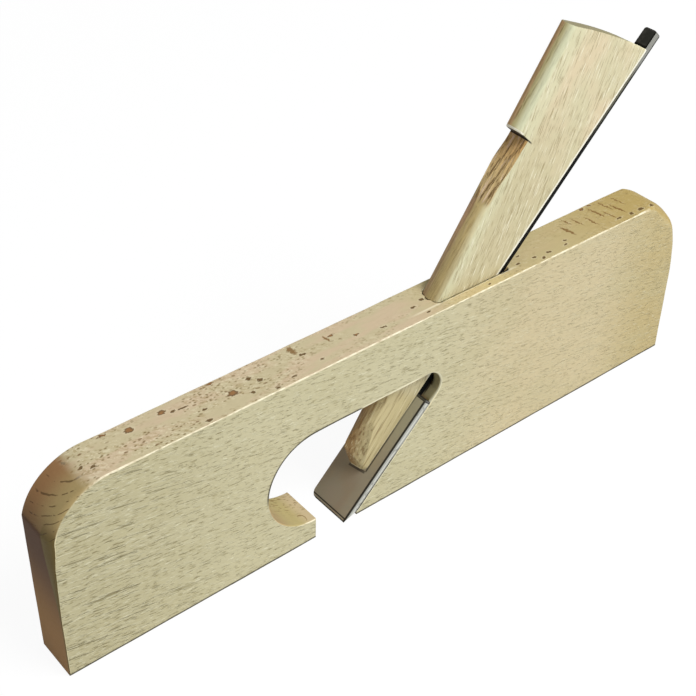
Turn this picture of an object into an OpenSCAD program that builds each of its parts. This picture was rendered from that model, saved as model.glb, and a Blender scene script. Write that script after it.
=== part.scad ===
// Rabbet plane: a beech stock, a shouldered iron and the wedge that holds it.
// Millimetres. The sole lies on Z = 0, the toe points to -X, and the origin is the middle of the sole.

/* [Stock] */
// Length of the stock
stock_l = 270; // [240:1:320]
// Thickness of the stock
stock_w = 16.6; // [15:0.1:24]
// Height of the stock
stock_h = 72.3; // [66:0.1:84]
// Radius of the round on top of the toe
toe_r = 22; // [21.5:0.5:30]
// How far the toe's round runs along the stock
toe_run = 21.2; // [14:0.1:21.4]
// Radius of the round on top of the heel
heel_r = 25; // [21:0.5:34]
// How far the heel's round cuts into the top
heel_run = 15.8; // [10:0.1:20]

/* [Throat] */
// Distance from the toe end to the front of the mouth
mouth_x = 95.5; // [80:0.5:120]
// Opening between the front of the mouth and the cutting edge
mouth_gap = 11.7; // [6:0.1:14]
// Height of the lip in front of the mouth
lip_h = 8.8; // [6:0.1:12]
// Height of the straight roof of the throat above the sole
roof_h = 47.3; // [42:0.1:52]
// Radius of the eye where the roof meets the bed
eye_r = 5.9; // [4:0.1:7]
// Width of the blunt tip at the foot of the bed
bed_tip = 1.6; // [0.8:0.1:3]

/* [Iron] */
// Slope of the bed and of the iron above the sole
bed_angle = 46; // [42:0.5:52]
// Thickness of the iron
iron_t = 3.2; // [2.4:0.1:4]
// Length of the iron along the bed
iron_l = 197; // [190:1:215]
// How far the blade stands proud of the near cheek
near_proud = 0.3; // [0:0.05:0.6]
// How far the blade stands proud of the far cheek, to which it is set over
far_proud = 1.4; // [0:0.05:1.6]
// Grinding angle of the cutting edge
grind_angle = 28; // [22:1:35]
// Width of the tang at the shoulders
tang_w = 7.6; // [6:0.1:8]
// Width of the tang at its top end
tang_top_w = 5.2; // [4:0.1:6]
// Radius of the corners at the tang's top end
tang_corner_r = 0.9; // [0.3:0.1:1.5]
// Room between the shoulders and the wood above them
shoulder_gap = 4; // [2:0.1:6]

/* [Wedge] */
// Width of the wedge where it fills the mortise
wedge_w = 8.4; // [8:0.1:10]
// Width of the wedge at its top end
wedge_top_w = 7; // [6:0.1:7.8]
// Distance of the tongue's near side from the middle plane at its tip
tongue_near = 4.1; // [3:0.1:4.2]
// Distance of the tongue's far side from the middle plane at its tip
tongue_far = 3; // [2.5:0.1:4.2]
// Thickness of the tongue at its tip, before its bevel
tongue_t = 8.9; // [7:0.1:10]
// Distance from the cutting edge to the tip of the tongue
tongue_at = 17.5; // [12:0.5:24]
// Slope of the bevel that ends the tongue
tip_bevel = 61; // [45:1:80]
// Radius of the near corner of the tongue's tip
tip_r = 2.2; // [0.5:0.1:2.8]
// Angle between the wedge's front and the iron
wedge_angle = 10.6; // [8:0.1:12]
// Distance from the cutting edge to the back edge of the wedge's top end
wedge_top = 190; // [180:1:195]
// Slope of the top end
top_slope = 17.4; // [10:0.2:30]
// Radius of the crown on the top end
top_crown_r = 215; // [120:5:400]
// Radius of the crown on the front
front_r = 7; // [6.5:0.1:12]
// Radius of the front's rounded corners
corner_r = 2; // [1:0.1:2.5]

/* [Strike notch] */
// Distance from the cutting edge to the square wall of the notch
notch_at = 141; // [135:1:150]
// How far the head stands out from the line of the lower front
head_lift = 2; // [1:0.1:3]
// Depth of the notch at its wall, under the line of the lower front
notch_d = 3.4; // [2:0.1:5]
// Length of the notch's floor, from the wall to where it runs out
notch_l = 26.5; // [20:0.5:34]
// Slope of the notch's floor across the wedge, which is lower on the near side
notch_tilt = 5; // [0:0.5:10]

/* [Fit] */
// Play of the wedge on each side in the mortise
side_play = 0.15; // [0.1:0.05:0.4]
// Play between the wedge's front and the mortise
front_play = 0.15; // [0.1:0.05:0.4]
// Air between the wedge's back and the face of the iron
seat_play = 0.01; // [0.01:0.01:0.1]

/* [Hidden] */
$fn = 96;
over = 1; // how far a cutting shape runs past what it cuts
bite = 0.04; // how far an arc runs past the line or the arc that it blends into
long_fn = 360; // segments of the long, shallow arcs

toe_x = -stock_l / 2;
lip_x = toe_x + mouth_x;
edge_x = lip_x + mouth_gap;
blade_w = stock_w + near_proud + far_proud;
blade_shift = (far_proud - near_proud) / 2;
mortise_w = wedge_w + 2 * side_play;

// In the frame of the bed, s runs up from the cutting edge and h stands off the iron's face.
function bed_x(s, h) = edge_x + s * cos(bed_angle) - h * sin(bed_angle);
function bed_z(s, h) = s * sin(bed_angle) + h * cos(bed_angle);

// The big round of the throat blends into the roof and ends level at the lip
throat_r = (roof_h - lip_h + bite) / 2;
// The eye blends into the roof and the bed
eye_h = eye_r - iron_t - bite;
eye_s = (roof_h - eye_r + bite - eye_h * cos(bed_angle)) / sin(bed_angle);
bed_foot_x = edge_x + iron_t / sin(bed_angle) + bed_tip;
blade_l = eye_s - shoulder_gap;

// The wedge's front, measured along the bed
rise = tan(wedge_angle);
function front_h(s) = tongue_t + (s - tongue_at) * rise;
// Places along the bed where the front passes the roof and the iron's face passes the top
roof_s = (roof_h - front_h(0) * cos(bed_angle)) / (sin(bed_angle) + rise * cos(bed_angle));
stock_top_s = stock_h / sin(bed_angle);
// The wedge narrows evenly from the top of the stock to its own top
function head_w(s) = wedge_w
    - (wedge_w - wedge_top_w) * (s - stock_top_s) / (wedge_top - stock_top_s);
// Thickness at the top end, and the place along the bed of its front corner
top_run = tan(top_slope);
top_t = (front_h(wedge_top) + head_lift) / (1 + top_run * rise);
top_front_s = wedge_top - top_t * top_run;
// The place along the bed where the notch's floor runs out, and its slope up to the wall
notch_foot = notch_at - notch_l;
notch_rise = atan((front_h(notch_at) - notch_d - front_h(notch_foot)) / notch_l);

// Places its children in the frame of the bed: X up the slope, Z off the iron's face
module on_bed() translate([edge_x, 0, 0]) rotate([0, -bed_angle, 0]) children();

// Places its children on the line of the wedge's front: X along it, Z off it
module on_front(lift) translate([tongue_at, 0, tongue_t + lift]) rotate([0, -wedge_angle, 0])
    children();
function along_front(s) = (s - tongue_at) / cos(wedge_angle);

// Extrudes an outline drawn in X and Z through a width across the plane
module across(w) rotate([90, 0, 0]) linear_extrude(w, center = true) children();

// The stock

// Wood outside a round at the stock's upper left corner, which is the origin
module round_waste(run, centre, r)
    difference() {
        translate([-over, centre[1]]) square([run + over, over - centre[1]]);
        translate(centre) circle(r);
    }

module stock_outline()
    difference() {
        translate([toe_x, 0]) square([stock_l, stock_h]);
        translate([toe_x, stock_h]) round_waste(toe_run, [toe_run, bite - toe_r], toe_r);
        heel_drop = sqrt(pow(heel_r, 2) - pow(heel_r - heel_run, 2));
        translate([-toe_x, stock_h]) mirror([1, 0])
            round_waste(heel_run, [heel_r, -heel_drop], heel_r);
    }

// The opening from cheek to cheek: the big round, the eye, and all between the lip and the bed
module throat_outline() {
    translate([lip_x, lip_h + throat_r]) circle(throat_r);
    translate([bed_x(eye_s, eye_h), bed_z(eye_s, eye_h)]) circle(eye_r);
    polygon([
        [lip_x, -over],
        [lip_x, roof_h],
        [bed_x(eye_s, eye_h), roof_h],
        [bed_x(eye_s, -iron_t), bed_z(eye_s, -iron_t)],
        [bed_foot_x, bed_tip * tan(bed_angle)],
        [bed_foot_x, -over]
    ]);
}

// The sloping hole from the top of the stock to the throat, in the frame of the bed
module mortise() {
    s_end = stock_top_s + 2 * iron_t;
    intersection() {
        on_front(front_play) front_bar(0, along_front(s_end), mortise_w, mortise_w);
        // Its back is the bed, from the eye upwards
        across(mortise_w) polygon([
            [0, eye_h],
            [eye_s, eye_h],
            [eye_s, -iron_t],
            [s_end, -iron_t],
            [s_end, stock_h],
            [0, stock_h]
        ]);
    }
}

module stock()
    color("#d9c897") difference() {
        across(stock_w) stock_outline();
        across(stock_w + 2 * over) throat_outline();
        on_bed() mortise();
    }

// The iron

module tang_outline() {
    corner_y = tang_top_w / 2 - tang_corner_r;
    polygon([
        [blade_l - over, -tang_w / 2],
        [iron_l - tang_corner_r, -tang_top_w / 2],
        [iron_l - tang_corner_r, tang_top_w / 2],
        [blade_l - over, tang_w / 2]
    ]);
    for (side = [-1, 1]) translate([iron_l - tang_corner_r, side * corner_y]) circle(tang_corner_r);
    translate([iron_l - 2 * tang_corner_r, -corner_y]) square([2 * tang_corner_r, 2 * corner_y]);
}

module iron()
    color("#5d564e") on_bed() {
        translate([0, blade_shift, 0]) across(blade_w) polygon([
            [0, 0],
            [blade_l, 0],
            [blade_l, -iron_t],
            [iron_t / tan(grind_angle), -iron_t]
        ]);
        translate([0, 0, -iron_t]) linear_extrude(iron_t) tang_outline();
    }

// The wedge

// Distance of the rounded corners' centres from the middle plane, and their depth under the crown
function corner_y(w) = w / 2 - corner_r + bite;
function corner_drop(w) = front_r - bite - sqrt(pow(front_r - corner_r, 2) - pow(corner_y(w), 2));
// Half the width of the crown between its corners
function crown_half(w) = front_r * corner_y(w) / (front_r - corner_r);

// A round rod from one point to another
module rod(from, to, r) {
    d = to - from;
    translate(from) rotate([0, acos(d[2] / norm(d)), atan2(d[1], d[0])]) cylinder(h = norm(d), r = r);
}

// A bar with a crowned front and rounded corners, from x1 to x2 along the wedge's front.
// The front fits a width from w1 to w2, and what is cut with the bar gives it its flat sides.
module front_bar(x1, x2, w1, w2) {
    z1 = -corner_drop(w1);
    z2 = -corner_drop(w2);
    depth = 2 * stock_h;
    for (side = [-1, 1])
        rod([x1, side * corner_y(w1), z1], [x2, side * corner_y(w2), z2], corner_r);
    intersection() {
        rod([x1, 0, -front_r], [x2, 0, -front_r], front_r);
        c1 = crown_half(w1);
        c2 = crown_half(w2);
        translate([0, 0, -2 * front_r]) linear_extrude(3 * front_r)
            polygon([[x1, -c1], [x2, -c2], [x2, c2], [x1, c1]]);
    }
    across(2 * w1) polygon([[x1, -depth], [x2, -depth], [x2, z2], [x1, z1]]);
}

// The wedge seen from its side, with the tongue's bevel and the crowned top end, before its front is cut
module wedge_side()
    intersection() {
        tall = front_h(wedge_top) + head_lift + over;
        polygon([
            [tongue_at, seat_play],
            [tongue_at + tall / tan(tip_bevel), tall],
            [wedge_top + over, tall],
            [wedge_top + over, seat_play]
        ]);
        // The crown passes through both corners of the top end
        chord = [top_front_s - wedge_top, top_t];
        out = [chord[1], -chord[0]] / norm(chord);
        sag = top_crown_r - sqrt(pow(top_crown_r, 2) - pow(norm(chord) / 2, 2));
        translate([wedge_top, 0] + chord / 2 - out * (top_crown_r - sag)) circle(top_crown_r, $fn = long_fn);
    }

// The wedge seen from its front, with the narrowing tongue and head
module wedge_plan() {
    end_s = wedge_top + 2 * over;
    polygon([
        for (a = [0:10:90])
            [tongue_at + tip_r * (1 - cos(a)), tip_r * (1 - sin(a)) - tongue_near],
        [roof_s, -wedge_w / 2],
        [stock_top_s, -wedge_w / 2],
        [end_s, -head_w(end_s) / 2],
        [end_s, head_w(end_s) / 2],
        [stock_top_s, wedge_w / 2],
        [roof_s, wedge_w / 2],
        [tongue_at, tongue_far]
    ]);
}

module wedge()
    color("#e4d7ae") on_bed() difference() {
        intersection() {
            across(2 * wedge_w) wedge_side();
            linear_extrude(2 * stock_h) wedge_plan();
            union() {
                on_front(0)
                    front_bar(-tongue_t, along_front(notch_at) - over, wedge_w, wedge_w);
                on_front(head_lift * cos(wedge_angle))
                    front_bar(along_front(notch_at) - 2 * over, along_front(wedge_top) + 2 * over,
                        head_w(notch_at), head_w(wedge_top));
            }
        }
        // The notch: all that stands above its sloping floor, up to its square wall
        intersection() {
            translate([notch_foot, 0, front_h(notch_foot)]) rotate([notch_tilt, -notch_rise, 0])
                translate([-notch_l, -wedge_w, 0]) cube([3 * notch_l, 2 * wedge_w, 2 * wedge_w]);
            translate([tongue_at, -wedge_w, 0]) cube([notch_at - tongue_at, 2 * wedge_w, stock_h]);
        }
    }

stock();
iron();
wedge();
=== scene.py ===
"""A narrow wooden rabbet plane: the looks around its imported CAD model, in metres."""

import math

import bpy
import numpy as np
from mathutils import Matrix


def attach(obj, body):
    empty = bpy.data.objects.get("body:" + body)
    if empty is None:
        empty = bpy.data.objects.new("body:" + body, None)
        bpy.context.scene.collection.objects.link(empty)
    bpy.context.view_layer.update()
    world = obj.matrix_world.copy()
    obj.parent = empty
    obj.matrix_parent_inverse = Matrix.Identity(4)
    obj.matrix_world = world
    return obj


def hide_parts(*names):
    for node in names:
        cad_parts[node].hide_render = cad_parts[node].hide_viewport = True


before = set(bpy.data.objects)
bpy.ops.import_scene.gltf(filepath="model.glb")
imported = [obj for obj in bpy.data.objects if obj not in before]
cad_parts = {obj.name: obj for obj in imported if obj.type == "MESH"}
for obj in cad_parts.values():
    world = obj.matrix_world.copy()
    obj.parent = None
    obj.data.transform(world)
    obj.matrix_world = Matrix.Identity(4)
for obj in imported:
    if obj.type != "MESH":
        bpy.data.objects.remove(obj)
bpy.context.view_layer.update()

MM = 0.001

# Sizes of the CAD model, in millimetres: the stock with its throat, its eye and its bed
STOCK_L = 270.0
STOCK_W = 16.6
STOCK_H = 72.3
TOE_R = 22.0
TOE_RUN = 21.2
HEEL_R = 25.0
LIP_X = -39.5
LIP_H = 8.8
ROOF_H = 47.3
EDGE_X = -27.8
EYE_R = 5.9
BED_TIP = 1.6
BED_ANGLE = math.radians(46.0)
# The iron
IRON_T = 3.2
IRON_L = 197.0
BLADE_NEAR = 8.6
BLADE_FAR = 9.7
BLADE_L = 51.04
TANG_W = 7.6
TANG_TOP_W = 5.2
GRIND_ANGLE = math.radians(28.0)
# The wedge, whose places along the bed are counted from the iron's edge
WEDGE_W = 8.4
WEDGE_TOP_W = 7.0
WEDGE_TOP = 190.0
WEDGE_RISE = math.tan(math.radians(10.6))
TONGUE_NEAR = 4.1
TONGUE_FAR = 3.0
TONGUE_T = 8.9
TONGUE_AT = 17.5
TIP_BEVEL = math.radians(61.0)
TIP_R = 2.2
ROOF_S = 51.1
TOP_S = 100.5
TOP_RUN = math.tan(math.radians(17.4))
TOP_CROWN_R = 215.0
FRONT_R = 7.0
CORNER_R = 2.0
NOTCH_AT = 141.0
NOTCH_D = 3.4
NOTCH_L = 26.5
NOTCH_LEAN = math.tan(math.radians(5.0))
HEAD_LIFT = 2.0
FRONT_PLAY = 0.15
# The middle of the eye, as its distance off the iron's face and its place up the bed
EYE_H = EYE_R - IRON_T
EYE_S = (ROOF_H - EYE_R - EYE_H * math.cos(BED_ANGLE)) / math.sin(BED_ANGLE)

# Sizes of the visual meshes alone: a heel that is worn longer, a mortise that fits closely, and a tip cut aslant
HEEL_RUN = 17.0
MORTISE_W = 8.48
TIP_SKEW = 0.14

# The grain's lean along the cheeks, and the shift from x and z to s and h
GRAIN = -0.13
BED_SHIFT = (-EDGE_X * math.cos(BED_ANGLE), 0.0, EDGE_X * math.sin(BED_ANGLE))


# Meshes


def from_bed(points):
    """Turns points given as s up the bed, y across and h off the iron's face into x, y and z:
    x = edge + s cos(bed) - h sin(bed) and z = s sin(bed) + h cos(bed)."""
    s, y, h = points[..., 0], points[..., 1], points[..., 2]
    cos, sin = math.cos(BED_ANGLE), math.sin(BED_ANGLE)
    return np.stack([EDGE_X + s * cos - h * sin, y, s * sin + h * cos], axis=-1)


def quads(rows, columns, closed_rows=False, closed_columns=False):
    """Faces of a grid of rows x columns points: point (i, j) joins (i, j+1), (i+1, j+1) and (i+1, j)."""
    index = np.arange(rows * columns).reshape(rows, columns)
    if closed_rows:
        index = np.vstack([index, index[:1]])
    if closed_columns:
        index = np.hstack([index, index[:, :1]])
    return np.stack(
        [index[:-1, :-1], index[:-1, 1:], index[1:, 1:], index[1:, :-1]], axis=-1
    ).reshape(-1, 4)


def piece(name, points, faces, sharp=35.0):
    """A mesh object from points in millimetres, with its place in its mesh and edges sharper than an angle kept."""
    mesh = bpy.data.meshes.new(name)
    mesh.from_pydata((points.reshape(-1, 3) * MM).tolist(), [], [list(f) for f in faces])
    mesh.update()
    mesh.shade_smooth()
    mesh.set_sharp_from_angle(angle=math.radians(sharp))
    made = bpy.data.objects.new(name, mesh)
    bpy.context.scene.collection.objects.link(made)
    return made


def finished(made, modifiers):
    """Replaces an object's mesh by the result of the modifiers given as (type, settings)."""
    for kind, settings in modifiers:
        modifier = made.modifiers.new(kind, kind)
        for key, value in settings.items():
            setattr(modifier, key, value)
    bpy.context.view_layer.update()
    result = bpy.data.meshes.new_from_object(
        made.evaluated_get(bpy.context.evaluated_depsgraph_get())
    )
    made.modifiers.clear()
    made.data = result
    return made


def keep_facing(made):
    """Stores each face corner's normal as the attribute facing, so that a finish can tell top, side and end."""
    mesh = made.data
    normals = np.zeros(len(mesh.loops) * 3, np.float32)
    mesh.corner_normals.foreach_get("vector", normals)
    attribute = mesh.attributes.new("facing", "FLOAT_VECTOR", "CORNER")
    attribute.data.foreach_set("vector", normals)


def line(start, end, step):
    """Points from start towards end, about a step apart, without the last one."""
    start, end = np.asarray(start, float), np.asarray(end, float)
    count = max(1, round(float(np.linalg.norm(end - start)) / step))
    t = np.arange(count)[:, None] / count
    return start + (end - start) * t


def arc(centre, radius, first, last, step=3.0):
    """Points on a circle from the first angle towards the last, in degrees, without the last one."""
    count = max(2, round(abs(last - first) / step))
    a = np.radians(first + (last - first) * np.arange(count) / count)
    return np.stack([centre[0] + radius * np.cos(a), centre[1] + radius * np.sin(a)], axis=-1)


def stock_outline():
    """The stock seen from its near side, as a loop of x and z that keeps the wood on its left: the sole and the lip,
    the big round of the throat, its roof, the eye, the bed, the rest of the sole, the heel, the top and the toe. With
    it come four rows: how far the near arris reaches into the outline and across, and how far the far one does."""
    half = STOCK_L / 2
    bed = math.degrees(BED_ANGLE)
    throat_r = (ROOF_H - LIP_H) / 2
    eye = from_bed(np.array([EYE_S, 0.0, EYE_H]))[[0, 2]]
    foot_x = EDGE_X + IRON_T / math.sin(BED_ANGLE) + BED_TIP
    foot = [foot_x, BED_TIP * math.tan(BED_ANGLE)]
    eye_end = from_bed(np.array([EYE_S, 0.0, -IRON_T]))[[0, 2]]
    heel_drop = math.sqrt(HEEL_R**2 - (HEEL_R - HEEL_RUN) ** 2)
    heel = [half - HEEL_R, STOCK_H - heel_drop]
    heel_turn = math.degrees(math.acos((HEEL_R - HEEL_RUN) / HEEL_R))
    toe = [-half + TOE_RUN, STOCK_H - TOE_R]
    toe_turn = math.degrees(math.acos(TOE_RUN / TOE_R))
    toe_low = STOCK_H - TOE_R + math.sqrt(TOE_R**2 - TOE_RUN**2)
    parts = [
        (0.35, line([-half, 0], [LIP_X, 0], 3)),
        (0.45, line([LIP_X, 0], [LIP_X, LIP_H], 1.5)),
        (0.55, arc([LIP_X, LIP_H + throat_r], throat_r, -90, -270)),
        (0.6, line([LIP_X, ROOF_H], [eye[0], ROOF_H], 2)),
        (0.8, arc(eye, EYE_R, 90, bed - 90, 6)),
        (1.0, line(eye_end, foot, 2)),
        (0.4, line(foot, [foot_x, 0], 0.8)),
        (0.35, line([foot_x, 0], [half, 0], 3)),
        (0.5, line([half, 0], [half, heel[1]], 3)),
        (0.5, arc(heel, HEEL_R, 0, heel_turn)),
        (0.5, line([half - HEEL_RUN, STOCK_H], [toe[0], STOCK_H], 1.5)),
        (0.7, arc(toe, TOE_R, 90, 180 - toe_turn)),
        (0.7, line([-half, toe_low], [-half, 0], 2)),
    ]
    loop = np.vstack([points for _, points in parts])
    arris = np.concatenate([np.full(len(points), radius) for radius, points in parts])
    # The shoulder of the heel is eased for the hand: the arris grows up the end and round, and ends on the top
    turn = np.degrees(np.arctan2(loop[:, 1] - heel[1], loop[:, 0] - heel[0]))
    climb = np.interp(turn, [-27, -12, 4, 15, 40, 60, 72, 80], [0, 1.0, 2.4, 3.8, 4.9, 4.2, 2.0, 0.3])
    climb = np.where(loop[:, 0] > half - HEEL_R, climb, 0.0)
    eased = np.stack([arris + climb * share for share in (1.0, 1.0, 0.3, 0.3)])
    # The toe's near arris is pared wide across the end, and its far arris is left sharp
    turn = np.degrees(np.arctan2(loop[:, 1] - STOCK_H + TOE_R, loop[:, 0] - toe[0])) % 360
    at_toe = (loop[:, 0] < toe[0] + 3) & (turn > 70)
    places = [78, 98, 110, 131, 145, 158, 175, 185, 198, 215, 230]
    pared_in = np.interp(turn, places, [0.7, 0.6, 0.95, 1.4, 1.4, 1.6, 1.25, 0.9, 0.5, 0.35, 0.35])
    pared_y = np.interp(turn, places, [0.7, 0.7, 1.2, 2.0, 3.0, 4.5, 5.2, 4.5, 3.4, 1.6, 0.4])
    eased[:, at_toe] = np.stack([pared_in, pared_y, 0 * turn + 0.4, 0 * turn + 0.4])[:, at_toe]
    return loop, eased


def make_stock():
    """The outline carried across the stock as a band whose two arrises are quarters of ellipses: at an angle a the band
    is p (1 - sin a) inside the outline and q (1 - cos a) inside the cheek, with p and q as far as the arris reaches
    into the outline and across. Both reaches vary along the outline by sines of three lengths. Each cheek is one face,
    and the mortise is cut."""
    loop, eased = stock_outline()
    after = np.roll(loop, -1, 0) - loop
    after /= np.linalg.norm(after, axis=1)[:, None]
    before = np.roll(after, 1, 0)
    left = np.stack([-(after + before)[:, 1], (after + before)[:, 0]], axis=-1)
    inward = 2 * left / (left**2).sum(1)[:, None]

    along = np.cumsum(np.linalg.norm(np.roll(loop, -1, 0) - loop, axis=1))
    worn = np.sin(along / 17.0) + np.sin(along / 7.3 + 1.0) + np.sin(along / 3.1 + 2.0)
    eased = (np.roll(eased, 1, 1) + 2 * eased + np.roll(eased, -1, 1)) / 4 * (1 + 0.12 * worn)
    near_in, near_y, far_in, far_y = eased[..., None]
    turn = np.radians(np.linspace(0, 90, 7))
    half = STOCK_W / 2
    past_arris, least = 0.4, 1.3
    low = -half + np.maximum(near_y + past_arris, least)
    high = half - np.maximum(far_y + past_arris, least)
    flat = low + (high - low) * np.linspace(0, 1, 9)
    from_cheek, from_outline = 1 - np.cos(turn), 1 - np.sin(turn)
    y = np.hstack([-half + near_y * from_cheek, flat, (half - far_y * from_cheek)[:, ::-1]])
    inset = np.hstack([near_in * from_outline, 0 * flat, (far_in * from_outline)[:, ::-1]])
    plane = loop[:, None, :] + inward[:, None, :] * inset[..., None]
    points = np.stack([plane[..., 0], y, plane[..., 1]], axis=-1)
    rows, columns = y.shape
    faces = quads(rows, columns, closed_rows=True).tolist()
    faces.append(np.arange(rows) * columns)
    faces.append(np.arange(rows)[::-1] * columns + columns - 1)
    stock = piece("beech_stock", points, faces)

    cutter = make_mortise()
    finished(
        stock,
        [
            ("BOOLEAN", {"object": cutter, "operation": "DIFFERENCE", "solver": "EXACT"}),
            ("WEIGHTED_NORMAL", {"mode": "FACE_AREA", "keep_sharp": True}),
        ],
    )
    bpy.data.objects.remove(cutter)
    return stock


def front_drop(y, width):
    """How far the wedge's front lies under its crown's top: a circle of the crown's radius in the middle,
    and circles of the corner's radius that touch it and the sides of the given width."""
    corner_y = width / 2 - CORNER_R
    corner_drop = FRONT_R - math.sqrt((FRONT_R - CORNER_R) ** 2 - corner_y**2)
    crown_half = FRONT_R * corner_y / (FRONT_R - CORNER_R)
    y = np.abs(y)
    crown = FRONT_R - np.sqrt(np.maximum(FRONT_R**2 - y**2, 0))
    corner = corner_drop - np.sqrt(np.maximum(CORNER_R**2 - (y - corner_y) ** 2, 0))
    return np.where(y < crown_half, crown, corner)


def front_h(s):
    """Distance of the wedge's lower front from the iron's face, a straight line over s."""
    return TONGUE_T + (s - TONGUE_AT) * WEDGE_RISE


def across(count):
    """Places across a front from -1 to 1, close together at both sides: the sine of even angles."""
    return np.sin(np.linspace(-math.pi / 2, math.pi / 2, count))


def make_mortise():
    """The room that the mortise takes, from inside the throat to above the stock: a flat back on the bed, flat sides,
    and the crowned front of the wedge with its play."""
    throat_s, eye_s, above_s = 44.0, 56.5, 112.0
    half = MORTISE_W / 2
    y = half * across(25)
    rings = []
    for s, back_s in ((throat_s, eye_s), (above_s, above_s)):
        h = front_h(s) + FRONT_PLAY - front_drop(y, MORTISE_W)
        front = np.stack([np.full(len(y), s), y, h], axis=-1)
        rings.append(np.vstack([front, [[back_s, half, -IRON_T], [back_s, -half, -IRON_T]]]))
    ring = np.stack(rings)
    count = ring.shape[1]
    faces = quads(2, count, closed_columns=True)[:, ::-1].tolist()
    faces.append(np.arange(count))
    faces.append(np.arange(count)[::-1] + count)
    cutter = piece("mortise", from_bed(ring), faces)
    cutter.hide_render = True
    return cutter


def closing(count, first=0, turned=False):
    """Faces that close a ring whose left and right halves mirror each other: point k joins point count - 1 - k."""
    k = np.arange(count // 2 - 1)
    strips = np.stack([k, k + 1, count - 2 - k, count - 1 - k], axis=-1) + first
    middle = count // 2
    faces = strips.tolist()
    if count % 2:
        faces.append([first + middle - 1, first + middle, first + middle + 1])
    return [f[::-1] for f in faces] if turned else faces


def make_iron():
    """Rounded rectangles across the iron, carried up the bed: wide in the blade, with one lower corner rounded,
    stepped in at the shoulders, tapered along the tang, and thinned from below by the grinding of the edge."""
    edge_r, corner_r, foot_r = 0.25, 0.9, 2.6
    shoulder_ease, blunt, grind_end = 0.15, 0.12, 6.018
    blade = np.array([0, 0.3, 0.7, 1.2, 1.8, 2.4, 3.0, 4, 5, grind_end, 7, 12, 20, 30, 40, 50, 50.75, BLADE_L])
    tang = np.linspace(BLADE_L, IRON_L - corner_r, 30)
    turn = np.radians(np.linspace(0, 90, 6))[1:]
    end = IRON_L - corner_r + corner_r * np.sin(turn)
    s = np.concatenate([blade, tang, end])
    near = np.concatenate(
        [
            np.full(len(blade), BLADE_NEAR),
            TANG_W / 2 + (TANG_TOP_W - TANG_W) / 2 * (tang - BLADE_L) / (tang[-1] - BLADE_L),
            TANG_TOP_W / 2 - corner_r * (1 - np.cos(turn)),
        ]
    )
    far = near.copy()
    far[: len(blade)] = BLADE_FAR
    low = s < foot_r
    far[low] -= foot_r - np.sqrt(foot_r**2 - (foot_r - s[low]) ** 2)
    near[len(blade) - 1] -= shoulder_ease
    far[len(blade) - 1] -= shoulder_ease
    bottom = -np.minimum(IRON_T, np.maximum(s, blunt) * math.tan(GRIND_ANGLE))[:, None]
    r = np.minimum(edge_r, -bottom / 2)
    a = np.radians([90, 60, 30, 0])
    in_side = 1 - np.cos(np.concatenate([a, a[::-1]]))
    in_face = 1 - np.sin(a)
    y_near = r * in_side - near[:, None]
    y_far = far[:, None] - r * in_side
    h = np.hstack([-r * in_face, bottom + r * in_face[::-1]])
    ring_y = np.hstack([y_near, y_far[:, ::-1]])
    ring_h = np.hstack([h, h[:, ::-1]])
    count = ring_y.shape[1]
    ring = np.stack([s[:, None].repeat(count, 1), ring_y, ring_h], axis=-1)
    faces = quads(len(s), count, closed_columns=True).tolist()
    faces += closing(count, turned=True) + closing(count, (len(s) - 1) * count)
    return piece("steel_iron", from_bed(ring), faces, sharp=25.0)


def notch_floor(s, y):
    """Height of the notch's floor over the iron's face: a plane that rises evenly from its foot to the wall and leans
    to the near side, with the grooves that a knife left along it."""
    foot = NOTCH_AT - NOTCH_L
    rise = (front_h(NOTCH_AT) - NOTCH_D - front_h(foot)) / NOTCH_L
    plane = front_h(foot) + (s - foot) * rise + NOTCH_LEAN * y
    grooves = 0.16 * np.sin(2.3 * y + 0.24 * s) + 0.09 * np.sin(4.9 * y - 0.3 * s + 1.0)
    grooves = grooves + 0.1 * np.sin(0.55 * s + y)
    return plane + grooves * np.clip((s - foot) / 6.0, 0, 1)


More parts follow.
